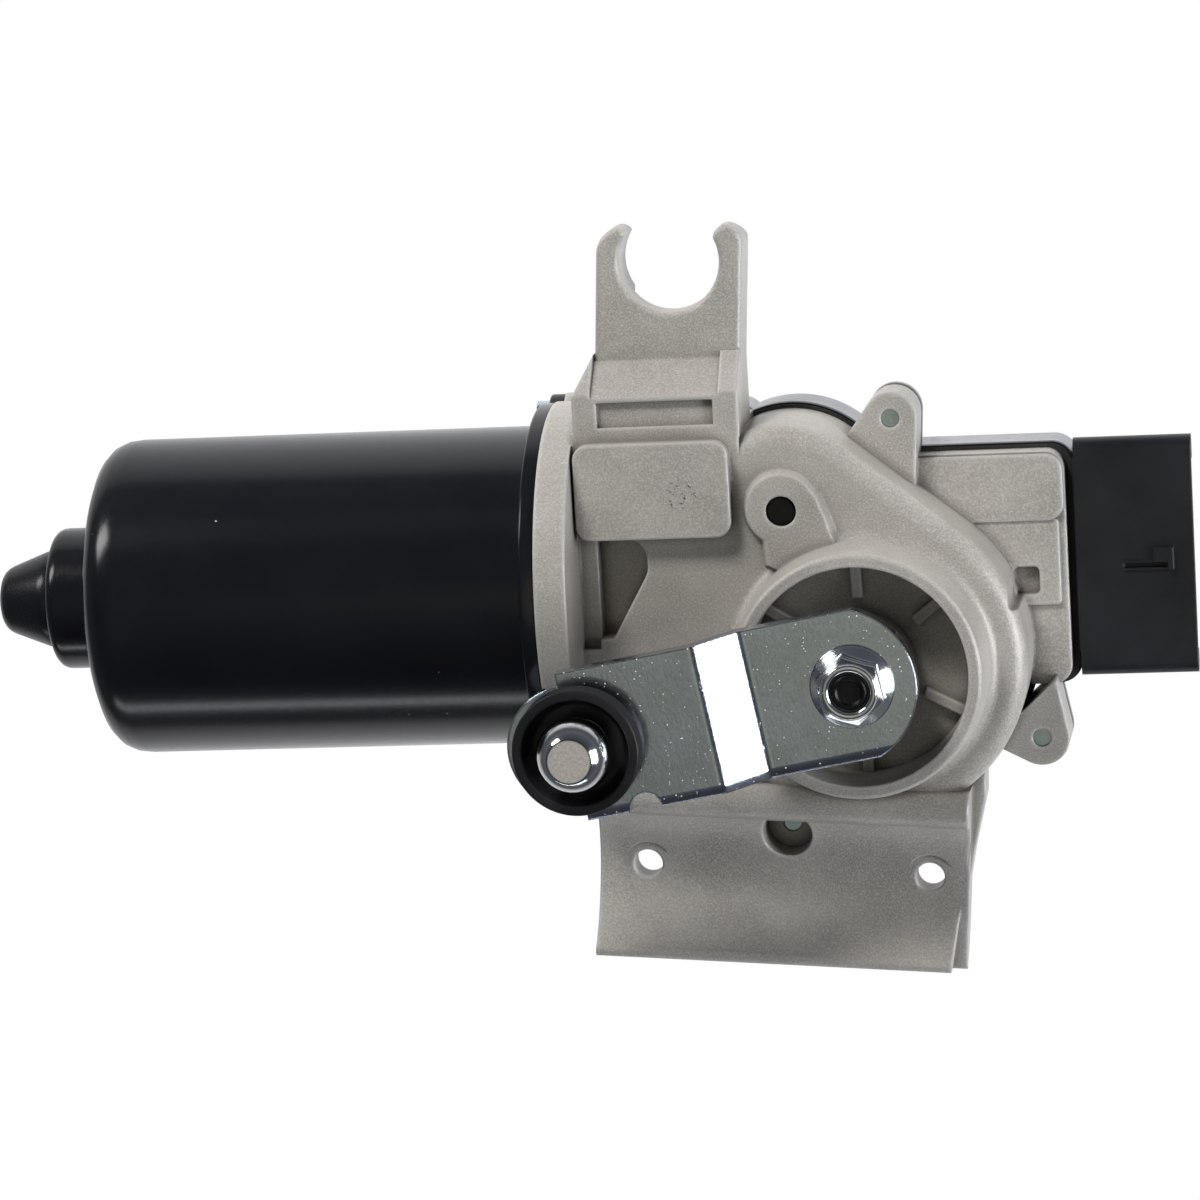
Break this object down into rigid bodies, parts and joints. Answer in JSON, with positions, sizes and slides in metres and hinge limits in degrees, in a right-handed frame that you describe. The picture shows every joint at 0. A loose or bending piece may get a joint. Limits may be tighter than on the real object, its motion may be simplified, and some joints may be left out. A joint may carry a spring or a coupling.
{
  "type": "wiper motor",
  "caption": "Geared wiper motor: round motor can, die-cast gear housing with ring, fork and saddle bracket, stepped crank with ball stud, side plug socket.",
  "frame": {"origin": "output shaft axis at the height of the housing's front deck", "axes": "+Z along the output shaft out of the housing toward the crank, +X along the motor axis from the can toward the plug socket, +Y toward the fork"},
  "size_m": [0.2636, 0.1638, 0.0997],
  "materials": {
    "cast_aluminium": "sand blasted die casting, soft satin",
    "black_paint": "glossy black paint",
    "black_rubber": "matte",
    "black_gloss": "glossy black moulding",
    "black_plastic": "satin moulded plastic",
    "zinc_steel": "bright zinc plating",
    "pressed_steel": "galvanised sheet",
    "bearing_steel": "ground steel",
    "dark_steel": "oiled dark steel",
    "bronze": "sintered bronze",
    "copper": "bare copper",
    "enamelled_copper": "varnished copper wire",
    "brass": "stamped brass",
    "tinned": "tin plated contact",
    "nylon": "moulded natural nylon",
    "laminated_steel": "laminated sheet stack",
    "ferrite": "ground ferrite",
    "carbon": "pressed carbon",
    "board_green": "solder mask",
    "phenolic": "brown laminate"
  },
  "bodies": {
    "housing": {"gear_housing": "cast_aluminium", "housing_gasket": "black_rubber", "connector_frame": "black_plastic", "connector_terminals": "tinned", "gear_cover": "pressed_steel", "cover_screws": "zinc_steel", "control_board": "board_green", "board_screws": "zinc_steel", "power_relay": "black_plastic", "board_capacitor": "black_gloss", "power_transistors": "black_plastic", "position_sensor": "black_plastic", "motor_leads": "black_rubber", "motor_can": "black_paint", "can_screws": "zinc_steel", "rear_cap": "black_gloss", "rear_bushing": "bronze", "bushing_cup": "pressed_steel", "thrust_pad": "nylon", "brush_card": "phenolic", "brush_holders": "brass", "brushes": "carbon", "brush_springs": "bearing_steel", "choke_coils": "enamelled_copper", "suppression_capacitor": "black_gloss", "bearing_outer": "bearing_steel", "bearing_balls": "bearing_steel", "bearing_retainer": "pressed_steel", "tail_bushing": "bronze", "idler_pin": "dark_steel", "idler_clip": "bearing_steel", "output_bushing": "bronze", "shaft_seal": "black_rubber", "magnet_1": "ferrite", "magnet_2": "ferrite", "magnet_3": "ferrite", "magnet_4": "ferrite"},
    "output": {"output_gear": "nylon", "output_shaft": "zinc_steel", "shaft_washer": "zinc_steel", "shaft_clip": "dark_steel", "sensor_magnet": "ferrite", "crank_arm": "zinc_steel", "crank_nut": "zinc_steel", "ball_stud": "zinc_steel", "dust_boot": "black_rubber"},
    "idler": {"idler_gear": "nylon"},
    "armature": {"armature_shaft": "bearing_steel", "armature_core": "laminated_steel", "armature_windings": "enamelled_copper", "commutator": "copper", "bearing_inner": "bearing_steel"}
  },
  "joints": [
    {"name": "output_spin", "type": "hinge", "parent": "housing", "child": "output", "pos_m": [0, 0, 0], "axis": [0, 0, 1], "continuous": true},
    {"name": "idler_spin", "type": "hinge", "parent": "housing", "child": "idler", "pos_m": [-0.01549, 0.03415, 0], "axis": [0, 0, 1], "continuous": true},
    {"name": "armature_spin", "type": "hinge", "parent": "housing", "child": "armature", "pos_m": [0, 0.0157, -0.021], "axis": [1, 0, 0], "continuous": true}
  ],
  "couplings": [
    {"joint": "idler_spin", "follows": "output_spin", "ratio": -4},
    {"joint": "armature_spin", "follows": "output_spin", "ratio": 64}
  ]
}
